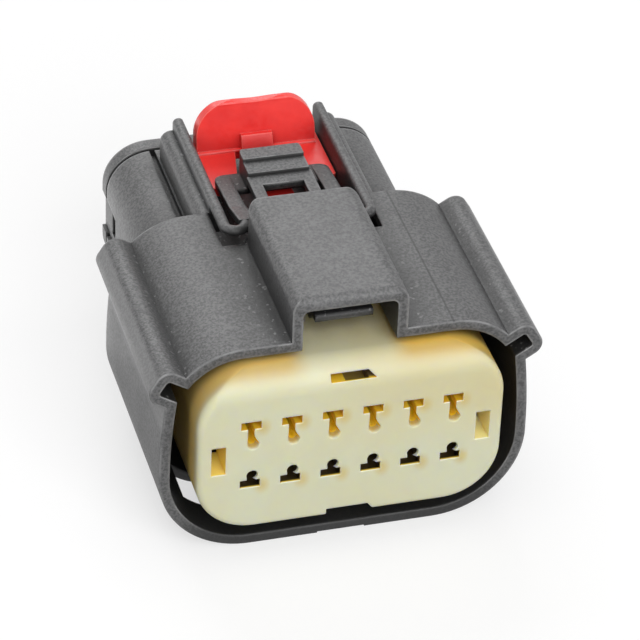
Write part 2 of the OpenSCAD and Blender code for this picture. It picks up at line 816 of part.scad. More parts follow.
// Thumb plate seen from the front: two large round corners and a shallow dip between them
module plate_front() {
    corner_x = plate_x - plate_r;
    dip_x = corner_x - plate_dip;
    dip_r = (dip_x * dip_x + plate_dip * plate_dip) / (2 * plate_dip);
    difference() {
        union() {
            translate([-plate_x, slider_z]) square([2 * plate_x, plate_top - plate_r - slider_z]);
            translate([-corner_x, slider_z]) square([2 * corner_x, plate_top - slider_z]);
            for (x = [-1, 1])
                translate([x * corner_x, plate_top - plate_r]) circle(plate_r);
        }
        translate([0, plate_top - plate_dip + dip_r]) circle(dip_r, $fn = 256);
    }
}

// Base of the position lock in plan: two wings beside the latch, joined under the plate
module slider_plan() {
    wing_in_front = lever_w / 2 + slide_fit;
    wing_in_rear = tongue_w / 2 + wing_gap;
    nose = slide_fit;
    both_sides()
        polygon([[0, plate_y], [wing_in_rear, plate_y], [wing_in_front, slider_front + nose],
                 [wing_in_front + nose, slider_front], [slider_x - nose, slider_front],
                 [slider_x, slider_front + nose], [slider_x, plate_back], [0, plate_back]]);
    translate([-tongue_w / 2, tongue_y]) square([tongue_w, plate_back - tongue_y]);
}

// Right side of the base: a skirt down to the rear body, and its flange in the rail's groove
module slider_skirt() {
    y = slider_front + slide_fit;
    translate([slider_x - skirt_w, y, slider_z])
        cube([skirt_w, plate_back - y, slider_top - slider_t / 2 - slider_z]);
    translate([slider_x - skirt_w / 2, y, slider_z])
        cube([skirt_w / 2 + flange_reach, plate_back - y, flange_h]);
}

module position_lock() {
    color(red) stand() {
        along_z(slider_top - slider_t, slider_top) slider_plan();
        intersection() {
            along_x(-plate_x, plate_x) plate_side();
            along_y(plate_y - over, body_y) plate_front();
        }
        along_x(-tongue_w / 2, tongue_w / 2)
            polygon([[plate_y - block_run, slider_top - slider_t], [plate_y - block_run, slider_top],
                     [plate_y, block_z], [plate_back, block_z], [plate_back, slider_top - slider_t]]);
        both_sides() {
            slider_skirt();
            translate([tongue_w / 2, plate_y, slider_top]) rotate([0, 90, 0])
                cylinder(r = foot_bead, h = plate_x - tongue_w / 2);
        }
    }
}

// Ring round the tower with a lip at each end and one in the middle
module ring_seal() {
    color(silicone) stand() difference() {
        union() {
            along_y(ring_y, ring_y + ring_len)
                rounded(tower_w + 2 * ring_t, tower_h + 2 * ring_t, tower_r + ring_t);
            for (i = [0 : 2])
                translate([0, i * (ring_len - lip_len) / 2, 0])
                    along_y(ring_y, ring_y + lip_len)
                        rounded(tower_w + 2 * (ring_t + ring_lip), tower_h + 2 * (ring_t + ring_lip),
                                tower_r + ring_t + ring_lip);
        }
        along_y(ring_y - over, ring_y + ring_len + over)
            rounded(tower_w + 2 * seat_fit, tower_h + 2 * seat_fit, tower_r + seat_fit);
    }
}

// Mat in the rear pocket, with lips round its edge and in each wire hole
module mat_seal() {
    mat_w = pocket_w - 2 * seat_fit;
    mat_h = pocket_h - 2 * seat_fit;
    mat_r = pocket_r - seat_fit;
    color(silicone) stand() difference() {
        union() {
            along_y(mat_y, mat_y + mat_t)
                rounded(mat_w - 2 * mat_groove, mat_h - 2 * mat_groove, mat_r - mat_groove);
            for (i = [0 : 2])
                translate([0, i * (mat_t - lip_len) / 2, 0])
                    along_y(mat_y, mat_y + lip_len) rounded(mat_w, mat_h, mat_r);
        }
        for (c = contacts)
            translate([c[0], mat_y, c[1]]) rotate([-90, 0, 0]) {
                translate([0, 0, -over]) cylinder(d = mat_lip_d, h = mat_t + 2 * over);
                for (i = [0, 1])
                    translate([0, 0, lip_len + i * (mat_t - lip_len) / 2])
                        cylinder(d = mat_hole_d, h = (mat_t - 3 * lip_len) / 2);
            }
    }
}

// Clip on the cap's right side, with the window that takes the body's catch
module cap_clip() {
    window = catch_w + 2 * slide_fit;
    difference() {
        translate([clip_x - clip_t, clip_y, -clip_w / 2]) cube([clip_t, clip_len + cap_t / 2, clip_w]);
        translate([0, catch_y - slide_fit, -window / 2])
            cube([body_w, catch_len + 2 * slide_fit, window]);
    }
}

module rear_cap() {
    color(charcoal) stand() {
        difference() {
            union() {
                along_y(cap_y, cap_y + cap_t) rounded(body_w, body_h, body_r);
                along_y(plug_y, cap_y)
                    rounded(pocket_w - 2 * slide_fit, pocket_h - 2 * slide_fit, pocket_r - slide_fit);
            }
            for (c = contacts)
                translate([c[0], plug_y - over, c[1]]) rotate([-90, 0, 0])
                    cylinder(d = wire_d, h = plug_len + cap_t + 2 * over);
            both_sides()
                translate([clip_x, cap_y - over, -clip_w / 2])
                    cube([body_w, cap_t + 2 * over, clip_w]);
        }
        both_sides() cap_clip();
    }
}

housing();
terminal_lock();
position_lock();
ring_seal();
mat_seal();
rear_cap();
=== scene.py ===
"""Looks of a sealed two-row wire connector: finishes, camera at the photograph's angle, studio."""
import math

import bpy
from mathutils import Matrix, Vector


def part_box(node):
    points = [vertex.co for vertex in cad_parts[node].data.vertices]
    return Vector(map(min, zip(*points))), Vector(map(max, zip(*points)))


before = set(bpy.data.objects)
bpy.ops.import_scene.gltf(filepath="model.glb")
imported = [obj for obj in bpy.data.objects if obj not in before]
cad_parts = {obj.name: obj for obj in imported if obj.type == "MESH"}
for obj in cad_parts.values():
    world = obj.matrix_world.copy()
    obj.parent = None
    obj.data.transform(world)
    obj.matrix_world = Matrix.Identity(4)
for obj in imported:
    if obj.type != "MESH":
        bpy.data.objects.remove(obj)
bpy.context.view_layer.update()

MM = 0.001

# Camera: seen from the left of the mating face, looking down on it with a long lens
PICTURE_PX = 640
SENSOR_MM = 36.0
FOCAL_PX = 3608.6
VIEW_AZIMUTH = -16.93
VIEW_ELEVATION = 35.65
VIEW_ROLL = -2.48
VIEW_DISTANCE = 302.12 * MM
FACE_CENTRE_PX = (351.86, 440.80)
NEAREST_SEEN = 10.0 * MM

# The middle of the mating face: on the terminal lock's front, half-way up its block.
# Places on the pieces are millimetres from there: across to the right, behind or above.
lock_low, lock_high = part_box("terminal_lock")
housing_low, housing_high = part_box("housing")
FACE_CENTRE = Vector((0.0, lock_low.y, (lock_low.z + lock_high.z) / 2))
LOCK_SIDE_MM = lock_high.x / MM
HOUSING_SIDE_MM = (housing_high.x - housing_low.x) / 2 / MM
HOUSING_TOP_MM = (housing_high.z - FACE_CENTRE.z) / MM
HOOD_SIDE_MM = 4.6

# A pair is a span: where an effect begins and where it is full or gone, or a value's two ends.
# A share says how much of its colour an effect gives where it is full.
WHOLE = (0.0, 1.0)
FADING = (1.0, 0.0)

# Charcoal, on the housing and the rear cap
CHARCOAL = (0.056, 0.056, 0.057)
CHARCOAL_DEEP = (0.041, 0.041, 0.042)
# Pale grey for the grain's specks, dust and edge wear, and for painted highlight, reflection and light
CHARCOAL_PALE_AND_HIGHLIGHT = (0.30, 0.30, 0.302)
# Dark grey for painted shade in creases and hollows, and for the parting line
CHARCOAL_SHADE_AND_LINE = (0.010, 0.010, 0.010)
CHARCOAL_ROUGHNESS = (0.46, 0.54)
SPECK_SHARE = 0.28
# Edge wear in patches, which also carries the painted highlight along the edges
WEAR_PATCH_MM = 1.8
WEAR_PATCHES = (0.35, 0.65)
WEAR_LEAST_TO_MOST = (0.35, 1.0)
EDGE_WEAR_AND_HIGHLIGHT_SHARE = 0.9
# Painted light: paler grey on top of the hood
HOOD_TOP_HALF_MM = 4.5
HOOD_TOP_SOFT_MM = 2.0
HOOD_TOP_ABOVE_MM = (HOUSING_TOP_MM - 1.6, HOUSING_TOP_MM - 0.8)
HOOD_TOP_LIGHT_SHARE = 0.11
WING_ASIDE_MM = (HOUSING_SIDE_MM - 2.6, HOUSING_SIDE_MM - 2.0)
WING_ABOVE_MM = (1.5, 2.5)
# Painted reflection: paler grey on the wings' flanks and under their lips
LIP_FACES_DOWN = (0.0, 0.35)
LIP_FACES_ASIDE = (0.3, 0.6)
LIP_REFLECTION_SHARE = 0.80
FLANK_FACES_ASIDE = (0.6, 0.9)
FLANK_REFLECTION_SHARE = 0.35
# Painted shade in creases and hollows
PAINTED_SHADE_DEPTH = (0.03, 0.38)
PAINTED_SHADE_SHARE = 0.92
PARTING_LINE_MM = 9.0
PARTING_HALF_MM = 0.14
PARTING_SHARE = 0.70
ROOF_FACES_UP = (0.6, 0.8)
ROOF_ABOVE_MM = (6.0, 6.5)
VALLEY_DEPTH = (0.08, 0.25)
VALLEY_FACES_UP = (0.2, 0.5)
VALLEY_ABOVE_MM = (3.0, 4.0)
DUST_MM = 0.45
DUST_DETAIL = 1.0
DUST_FLECKS = (0.66, 0.72)
DUST_SHARE = 0.40

# Cream, on the terminal lock
CREAM = (0.67, 0.675, 0.50)
CREAM_WARM = (0.64, 0.55, 0.27)
# Pale cream for painted highlight along the edges and on the lower slots' cones
CREAM_HIGHLIGHT = (0.88, 0.86, 0.74)
# Gold for painted glow on the openings' walls, paler in the side slots
GOLD = (1.0, 0.68, 0.045)
GOLD_PALE = (1.0, 0.84, 0.40)
# Tan for painted shade deep in the slots' flared feet
FOOT_SHADE_TAN = (0.56, 0.41, 0.12)
# Amber for painted glow under the roof's edge and down the lock's sides, brighter deeper in shade
AMBER = (0.62, 0.41, 0.09)
AMBER_GLOW = (0.92, 0.58, 0.085)
# Amber for painted shade beside the slots' bars
SHADE_PATCH_AMBER = (0.62, 0.49, 0.17)
# Amber for painted glow in the upper slots' bars
SLOT_AMBER = (0.74, 0.49, 0.03)
# Brown for painted shade deep inside and in the slots' hollows
SHADE_BROWN = (0.13, 0.088, 0.034)
CREAM_ROUGHNESS = (0.42, 0.52)
WARM_ACROSS_MM = (-10.0, 16.0)
WARM_LEFT_TO_RIGHT = (0.0, 0.5)
WARM_ABOVE_MM = (-3.0, 4.0)
WARM_CLOUD_SHARE = 0.18
SHOULDER_ASIDE_MM = (6.0, 9.0)
SHOULDER_ABOVE_MM = (4.0, 5.0)
EDGE_TO_SHOULDER_RADIUS = (0.18 * MM, 0.9 * MM)
EDGE_HIGHLIGHT_SHARE = 0.55
BROW_ASIDE_MM = (HOOD_SIDE_MM - 1.5, HOOD_SIDE_MM + 1.0)
BROW_ABOVE_MM = (3.5, 6.0)
UNDER_HOOD_TO_BESIDE = (0.1, 1.0)
SIDE_GLOW_MM = (LOCK_SIDE_MM - 2.1, LOCK_SIDE_MM - 0.7)
GLOW_BEHIND_MM = (0.1, 1.5)
GLOW_ACROSS_MM = (-8.0, 8.0)
GLOW_LEFT_TO_RIGHT = (0.85, 1.0)
GLOW_DEPTH = (0.15, 0.55)
GLOW_SHARE = 0.9
# Painted shade, brown, deep inside and well behind the face
INSIDE_DEPTH = (0.40, 0.95)
INSIDE_BEHIND_MM = (2.0, 3.6)
INSIDE_SHARE = 0.8

# The lock's openings: two rows of slots, T-shaped above and with a cone below, and the key slot
PITCH_MM = 3.5
SLOTS_IN_ROW = 6
ROW_HALF_MM = PITCH_MM * SLOTS_IN_ROW / 2
SLOT_ROWS_MM = ROW_HALF_MM - 0.1
OPENINGS_HALF_MM = 12.3
OPENINGS_ABOVE_MM = 4.6
WALL_FACES_FRONT = (-0.30, -0.12)
WALL_BEHIND_MM = (0.02, 0.12)
BAR_END_MM = 0.9
BAR_MIDDLE_MM = 3.0
BAR_LOW_MM = 2.5
BAR_AMBER_MM = (1.7, BAR_LOW_MM + 0.2)
# Patches of painted shade beside each slot's bar
SHADE_PATCH_ROWS_MM = ROW_HALF_MM + 0.1
SHADE_PATCH_ROWS_SOFT_MM = 0.4
SHADE_PATCH_PAST_BAR_MM = 0.1
SHADE_PATCH_BELOW_BAR_MM = 0.3
SHADE_PATCH_HALF_WIDE_MM = 0.95
SHADE_PATCH_HALF_HIGH_MM = 1.15
SHADE_PATCH_OUTWARD = (0.1, 1.0)
SHADE_PATCH_SHARE = 0.70
FOOT_ABOVE_MM = (0.3, 0.5)
FOOT_BELOW_MM = (BAR_LOW_MM - 0.2, BAR_LOW_MM)
FOOT_BEHIND_MM = (0.0, 0.40)
# The side slots' painted glow grows paler to the right; the lower slots' painted shade lies behind their
# cones
SIDE_SLOT_MM = (ROW_HALF_MM, ROW_HALF_MM + 0.3)
SIDE_SLOT_ACROSS_MM = (-11.0, 11.0)
SIDE_SLOT_PALENESS = (0.4, 1.0)
LOWER_TOP_MM = (-0.7, -0.6)
LOWER_SHADE_BEHIND_MM = (0.05, 0.3)
CONE_LOW_MM = (-BAR_LOW_MM, -BAR_LOW_MM + 0.1)
CONE_DEEP_MM = 1.0
KEY_SLOT_HALF_MM = 2.1
KEY_SLOT_MIDDLE_MM = 6.1
KEY_SLOT_ROOM_MM = 0.85
KEY_LEDGE_END_MM = (-0.75, -0.65)
KEY_LEDGE_BEHIND_MM = (0.25, 0.6)

# Red, on the position lock
RED = (0.88, 0.040, 0.033)
RED_DEEP = (0.77, 0.028, 0.025)
# Dark red for painted shade low on the front and deep in hollows
RED_SHADE = (0.42, 0.010, 0.010)
# Pale red for painted highlight along the edges
RED_EDGE_HIGHLIGHT = (0.90, 0.26, 0.21)
RED_ROUGHNESS = (0.30, 0.40)
RED_FACES_FRONT = (-0.7, -0.3)
RED_SHADE_DEPTH = (0.05, 0.55)
RED_SHADE_LEAST_TO_MOST = (0.0, 0.85)
RED_EDGE_SHARE = 0.5

# Grey silicone, on both seals
SILICONE = (0.14, 0.145, 0.14)
SILICONE_DEEP = (0.09, 0.094, 0.09)
SILICONE_ROUGHNESS = (0.5, 0.62)

# Gloss, grain, edges and hollows, for several finishes
POLYESTER_IOR = 1.5
SILICONE_IOR = 1.41
SMOOTH_GRAIN_DEPTH = 0.006 * MM
FINE_GRAIN = {"detail": 3.0, "roughness": 0.6}
GRAIN_SPECKS = (0.35, 0.65)
BROAD_CLOUD = {"detail": 3.0, "roughness": 0.55}
CLOUD_PATCHES = (0.3, 0.7)
CREASE_OPENNESS = (0.60, 0.90)
EDGE_LIKENESS = (0.88, 1.0)
EDGE_SAMPLES = 8
RECESS_SAMPLES = 12

# Studio: a floor and a room that look white, softboxes at the back, above and in front, and a
# weak lamp flat on the floor at the left back, for the glare on the left sides
WHITE = (1.0, 1.0, 1.0)
FLOOR_SIZE = 2.0
FLOOR_DROP = 0.02 * MM
FLOOR_PAPER = (0.355, 0.36)
FLOOR_CLOUD_MM = 30.0
FLOOR_LIFT = 0.62
SKY_UNSEEN_TO_SEEN = (0.40, 1.0)
LIT_POINT = (0.0, 0.0, 0.012)
GLOW_PLACE = (-0.136, 0.132, 0.0005)
GLOW_TARGET = (-0.136, 0.132, 1.0)

# Sockets of a Mix node, by kind: the two values that it mixes, and the result
MIX_SOCKETS = {"VECTOR": (4, 5, 1), "RGBA": (6, 7, 2)}


# Node helpers

def add_node(tree, kind, inputs=(), **settings):
    """A shader node with its settings, and with each named input linked to a socket or set."""
    node = tree.nodes.new("ShaderNode" + kind)
    for name, value in settings.items():
        setattr(node, name, value)
    for name, value in dict(inputs).items():
        feed(tree, node.inputs[name], value)
    return node


def feed(tree, socket, value):
    """Links a socket to an output, or sets it to a number or colour."""
    if isinstance(value, bpy.types.NodeSocket):
        tree.links.new(value, socket)
    elif isinstance(value, tuple) and socket.type == "RGBA":
        socket.default_value = (*value, 1.0)
    else:
        socket.default_value = value


def calc(tree, operation, first, second=0.0, third=0.0):
    """The result of a sum on one, two or three values."""
    node = add_node(tree, "Math", {0: first, 1: second, 2: third}, operation=operation)
    return node.outputs[0]


def product(tree, first, *others):
    """All values multiplied, so the place that several masks share."""
    for other in others:
        first = calc(tree, "MULTIPLY", first, other)
    return first


def strongest(tree, first, *others):
    """The highest of all values, so the place that any mask covers."""
    for other in others:
        first = calc(tree, "MAXIMUM", first, other)
    return first


def spread(tree, value, span, ends=WHOLE):
    """Turns a span of values smoothly into others, and holds them past both ends."""
    inputs = {"Value": value, "From Min": span[0], "From Max": span[1]}
    inputs.update({"To Min": ends[0], "To Max": ends[1]})
    node = add_node(tree, "MapRange", inputs, interpolation_type="SMOOTHSTEP")
    return node.outputs["Result"]


def between(tree, value, limit, soft=0.1):
    """1 where a value is nearer to 0 than a limit, else 0."""
    return spread(tree, calc(tree, "ABSOLUTE", value), (limit - soft, limit), FADING)


def mix(tree, kind, share, value, other):
    """A value of a kind, mixed by a share with the other one."""
    first, second, result = MIX_SOCKETS[kind]
    node = add_node(tree, "Mix", {"Factor": share, first: value, second: other}, data_type=kind)
    return node.outputs[result]


def tint(tree, share, colour, other):
    """Colour, mixed by a share with the other one."""
    return mix(tree, "RGBA", share, colour, other)


def millimetres(tree):
    """Place on the piece, in millimetres."""
    place = add_node(tree, "TexCoord").outputs["Object"]
    node = add_node(tree, "VectorMath", {0: place, "Scale": 1 / MM}, operation="SCALE")
    return node.outputs[0]


def face_place(tree):
    """Place as millimetres across, behind and above the middle of the mating face."""
    ends = {0: millimetres(tree), 1: FACE_CENTRE / MM}
    node = add_node(tree, "VectorMath", ends, operation="SUBTRACT")
    return add_node(tree, "SeparateXYZ", {0: node.outputs[0]}).outputs


def facing(tree):
    """Which way the surface faces, as X, Y and Z."""
    geometry = add_node(tree, "NewGeometry")
    return add_node(tree, "SeparateXYZ", {0: geometry.outputs["True Normal"]}).outputs


def noise(tree, size_mm, detail=2.0, roughness=0.5):
    """Cloudy noise with patches of a size in millimetres, about 0 to 1."""
    inputs = {"Vector": millimetres(tree), "Detail": detail, "Roughness": roughness}
    if isinstance(size_mm, bpy.types.NodeSocket):
        inputs["Scale"] = calc(tree, "DIVIDE", 1.0, size_mm)
    else:
        inputs["Scale"] = 1.0 / size_mm
    return add_node(tree, "TexNoise", inputs).outputs["Fac"]


# Effects that several finishes share

def new_group(name, inputs, outputs):
    """An empty node group. Inputs are name: (kind, value), outputs are name: kind."""
    group = bpy.data.node_groups.new(name, "ShaderNodeTree")
    for label, (kind, value) in inputs.items():
        socket = group.interface.new_socket(label, in_out="INPUT", socket_type="NodeSocket" + kind)
        socket.default_value = value
    for label, kind in outputs.items():
        group.interface.new_socket(label, in_out="OUTPUT", socket_type="NodeSocket" + kind)
    entry = group.nodes.new("NodeGroupInput").outputs
    leave = group.nodes.new("NodeGroupOutput").inputs
    return group, entry, leave


def make_moulded_grain():
    """Spark-eroded mould texture: fine pits for the bump, and broad cloudy differences in tone."""
    group, entry, leave = new_group(
        "moulded_grain",
        {"Grain mm": ("Float", 0.22), "Cloud mm": ("Float", 4.0)},
        {"Height": "Float", "Speck": "Float", "Cloud": "Float"})
    fine = noise(group, entry["Grain mm"], **FINE_GRAIN)
    cloud = noise(group, entry["Cloud mm"], **BROAD_CLOUD)
    group.links.new(fine, leave["Height"])
    group.links.new(spread(group, fine, GRAIN_SPECKS), leave["Speck"])
    group.links.new(spread(group, cloud, CLOUD_PATCHES), leave["Cloud"])
    return group


def make_soft_edges():
    """Edges as they leave the mould: rounded where they stand out, sharp where they lie in, with masks
    for painted highlight and shade.
    """
    group, entry, leave = new_group(
        "soft_edges",
        {"Radius": ("Float", 0.15 * MM), "Crease reach": ("Float", 0.5 * MM)},
        {"Normal": "Vector", "Edge": "Float", "Crease": "Float"})
    rounded = add_node(group, "Bevel", {"Radius": entry["Radius"]}, samples=EDGE_SAMPLES).outputs[0]
    plain = add_node(group, "NewGeometry").outputs["Normal"]
    sky = add_node(group, "AmbientOcclusion", {"Distance": entry["Crease reach"]},
                   samples=EDGE_SAMPLES, only_local=True)
    crease = spread(group, sky.outputs["AO"], CREASE_OPENNESS, FADING)
    alike = add_node(group, "VectorMath", {0: rounded, 1: plain}, operation="DOT_PRODUCT")
    bent = spread(group, alike.outputs["Value"], EDGE_LIKENESS, FADING)
    standing_out = calc(group, "SUBTRACT", 1.0, crease)
    group.links.new(mix(group, "VECTOR", crease, rounded, plain), leave["Normal"])
    group.links.new(product(group, bent, standing_out), leave["Edge"])
    group.links.new(crease, leave["Crease"])
    return group


def make_recess():
    """How deep in a hollow a place lies, from 0 in the open to 1 far inside."""
    group, entry, leave = new_group("recess", {"Reach": ("Float", 1.0 * MM)}, {"Depth": "Float"})
    sky = add_node(group, "AmbientOcclusion", {"Distance": entry["Reach"]}, samples=RECESS_SAMPLES)
    group.links.new(calc(group, "SUBTRACT", 1.0, sky.outputs["AO"]), leave["Depth"])
    return group


MOULDED_GRAIN = make_moulded_grain()
SOFT_EDGES = make_soft_edges()
RECESS = make_recess()


def use(tree, group, **values):
    """The outputs of a shared effect, placed in a finish with its own values."""
    node = tree.nodes.new("ShaderNodeGroup")
    node.node_tree = group
    for label, value in values.items():
        feed(tree, node.inputs[label.replace("_", " ")], value)
    return node.outputs


# Finishes

def new_material(name, **constants):
    """A material with a Principled shader. Gives the material, its tree and the shader."""
    material = bpy.data.materials.new(name)
    material.use_nodes = True
    tree = material.node_tree
    tree.nodes.clear()
    output = tree.nodes.new("ShaderNodeOutputMaterial")
    shader = tree.nodes.new("ShaderNodeBsdfPrincipled")
    tree.links.new(shader.outputs["BSDF"], output.inputs["Surface"])
    for label, value in constants.items():
        feed(tree, shader.inputs[label.replace("_", " ")], value)
    return material, tree, shader


def finish_surface(tree, shader, colour, roughness, height, normal, depth):
    """Links a finish: its colour, its roughness, and its grain of a depth over the soft edges."""
    feed(tree, shader.inputs["Base Color"], colour)
    feed(tree, shader.inputs["Roughness"], roughness)
    bump = add_node(tree, "Bump", {"Height": height, "Distance": depth, "Normal": normal})
    feed(tree, shader.inputs["Normal"], bump.outputs[0])


# Charcoal

def rubbed_and_highlighted_edges(tree, edge):
    """Share of pale grey along the edges: wear, rubbed more in some patches than in others, and painted
    highlight.
    """
    patches = noise(tree, WEAR_PATCH_MM)
    return product(tree, edge, spread(tree, patches, WEAR_PATCHES, WEAR_LEAST_TO_MOST), EDGE_WEAR_AND_HIGHLIGHT_SHARE)


def painted_flank_reflection(tree, place, normal):
    """Share of paler grey on the keying wings' flanks, most of it under their lips: painted reflection.
    """
    aside = calc(tree, "ABSOLUTE", place["X"])
    on_wing = product(tree, spread(tree, aside, WING_ASIDE_MM), spread(tree, place["Z"], WING_ABOVE_MM))
    sideways = calc(tree, "ABSOLUTE", normal["X"])
    downward = calc(tree, "MULTIPLY", normal["Z"], -1.0)
    under_lip = product(tree, spread(tree, downward, LIP_FACES_DOWN),
                        spread(tree, sideways, LIP_FACES_ASIDE), LIP_REFLECTION_SHARE)
    flank = product(tree, spread(tree, sideways, FLANK_FACES_ASIDE), FLANK_REFLECTION_SHARE)
    return product(tree, on_wing, strongest(tree, under_lip, flank))


def hood_top_painted_light(tree, place):
    """Share of paler grey on top of the hood: painted light."""
    across = between(tree, place["X"], HOOD_TOP_HALF_MM, HOOD_TOP_SOFT_MM)
    return product(tree, across, spread(tree, place["Z"], HOOD_TOP_ABOVE_MM), HOOD_TOP_LIGHT_SHARE)


def parting_line(tree, place, normal):
    """Share of dark along the mould's parting line, on the right of the roof."""
    off_line = calc(tree, "SUBTRACT", place["X"], PARTING_LINE_MM)
    on_roof = product(tree, spread(tree, normal["Z"], ROOF_FACES_UP),
                      spread(tree, place["Z"], ROOF_ABOVE_MM))
    return product(tree, between(tree, off_line, PARTING_HALF_MM), on_roof, PARTING_SHARE)


def valley_dust(tree, place, normal, hollow):
    """Share of pale flecks of dust in the upper valleys, on what faces up."""
    valley = product(tree, spread(tree, hollow, VALLEY_DEPTH),
                     spread(tree, normal["Z"], VALLEY_FACES_UP),
                     spread(tree, place["Z"], VALLEY_ABOVE_MM))
    flecks = spread(tree, noise(tree, DUST_MM, DUST_DETAIL), DUST_FLECKS)
    return product(tree, flecks, valley, DUST_SHARE)


def charcoal_moulding(name, grain_mm, grain_depth):
    """Glass-filled polyester from a textured mould: grey specks, edge wear with painted highlight,
    painted shade in corners.
    """
    material, tree, shader = new_material(name, IOR=POLYESTER_IOR)
    grain = use(tree, MOULDED_GRAIN, Grain_mm=grain_mm, Cloud_mm=5.0)
    edges = use(tree, SOFT_EDGES, Radius=0.42 * MM, Crease_reach=0.6 * MM)
    hollow = use(tree, RECESS, Reach=5.0 * MM)["Depth"]
    place = face_place(tree)
    normal = facing(tree)
    patchy = tint(tree, grain["Cloud"], CHARCOAL_DEEP, CHARCOAL)
    specked = tint(tree, product(tree, grain["Speck"], SPECK_SHARE), patchy, CHARCOAL_PALE_AND_HIGHLIGHT)
    worn_and_lit = strongest(tree, rubbed_and_highlighted_edges(tree, edges["Edge"]), painted_flank_reflection(tree, place, normal),
                     hood_top_painted_light(tree, place))
    # Paler grey for edge wear and painted edge highlight, painted reflection on the flanks, painted
    # light on the hood
    rubbed = tint(tree, worn_and_lit, specked, CHARCOAL_PALE_AND_HIGHLIGHT)
    # Painted shade in creases and hollows, and the dark parting line
    painted_shade = strongest(tree, edges["Crease"], spread(tree, hollow, PAINTED_SHADE_DEPTH))
    dark = strongest(tree, product(tree, painted_shade, PAINTED_SHADE_SHARE), parting_line(tree, place, normal))
    darkened = tint(tree, dark, rubbed, CHARCOAL_SHADE_AND_LINE)
    colour = tint(tree, valley_dust(tree, place, normal, hollow), darkened, CHARCOAL_PALE_AND_HIGHLIGHT)
    roughness = spread(tree, grain["Cloud"], WHOLE, CHARCOAL_ROUGHNESS)
    finish_surface(tree, shader, colour, roughness, grain["Height"], edges["Normal"], grain_depth)
    return material


# Cream

def warmth(tree, place, cloud):
    """Share of warmer cream: most at the upper right, and a little in cloudy patches."""
    to_right = spread(tree, place["X"], WARM_ACROSS_MM, WARM_LEFT_TO_RIGHT)
    upper_right = product(tree, to_right, spread(tree, place["Z"], WARM_ABOVE_MM))
    return calc(tree, "ADD", upper_right, product(tree, cloud, WARM_CLOUD_SHARE))


def lock_shoulders(tree, place):
    """Mask of the lock's upper corners, where the edges are softened the most."""
    aside = calc(tree, "ABSOLUTE", place["X"])
    return product(tree, spread(tree, aside, SHOULDER_ASIDE_MM),
                   spread(tree, place["Z"], SHOULDER_ABOVE_MM))


def painted_patch_shade(tree, place):
    """Share of amber beside each slot's bar: painted shade that the slot casts inside the translucent
    face.
    """
    half_pitch = PITCH_MM / 2
    from_slot = calc(tree, "SUBTRACT", place["X"], half_pitch)
    in_pitch = calc(tree, "WRAP", from_slot, half_pitch, -half_pitch)
    past_bar = calc(tree, "SUBTRACT", in_pitch, BAR_END_MM + SHADE_PATCH_PAST_BAR_MM)
    aside = calc(tree, "DIVIDE", past_bar, SHADE_PATCH_HALF_WIDE_MM)
    row_middle = product(tree, calc(tree, "SIGN", place["Z"]), BAR_MIDDLE_MM)
    over_bar = calc(tree, "SUBTRACT", place["Z"], row_middle)
    over_patch = calc(tree, "ADD", over_bar, SHADE_PATCH_BELOW_BAR_MM)
    above = calc(tree, "DIVIDE", over_patch, SHADE_PATCH_HALF_HIGH_MM)
    away = calc(tree, "SQRT", calc(tree, "MULTIPLY_ADD", aside, aside, product(tree, above, above)))
    in_rows = between(tree, place["X"], SHADE_PATCH_ROWS_MM, SHADE_PATCH_ROWS_SOFT_MM)
    return product(tree, in_rows, spread(tree, away, SHADE_PATCH_OUTWARD, FADING), SHADE_PATCH_SHARE)


def slot_feet(tree, place, in_rows):
    """Mask of the flared feet below the upper slots' bars."""
    return product(tree, in_rows, spread(tree, place["Z"], FOOT_ABOVE_MM),
                   spread(tree, place["Z"], FOOT_BELOW_MM, FADING))


def roof_glow(tree, place):
    """Share of amber light under the roof's edge and down the lock's sides, least under the hood."""
    away = calc(tree, "ABSOLUTE", place["X"])
    brow = product(tree, spread(tree, away, BROW_ASIDE_MM, UNDER_HOOD_TO_BESIDE),
                   spread(tree, place["Z"], BROW_ABOVE_MM))
    edge = strongest(tree, brow, spread(tree, away, SIDE_GLOW_MM))
    to_right = spread(tree, place["X"], GLOW_ACROSS_MM, GLOW_LEFT_TO_RIGHT)
    return product(tree, edge, to_right, spread(tree, place["Y"], GLOW_BEHIND_MM), GLOW_SHARE)


def painted_slot_glow(tree, place):
    """Painted glow on the openings' walls: amber in the slots' bars, gold below, paler to the right in
    the side slots.
    """
    upper = tint(tree, spread(tree, place["Z"], BAR_AMBER_MM), GOLD, SLOT_AMBER)
    paleness = spread(tree, place["X"], SIDE_SLOT_ACROSS_MM, SIDE_SLOT_PALENESS)
    at_side = spread(tree, calc(tree, "ABSOLUTE", place["X"]), SIDE_SLOT_MM)
    return tint(tree, at_side, upper, tint(tree, paleness, GOLD, GOLD_PALE))


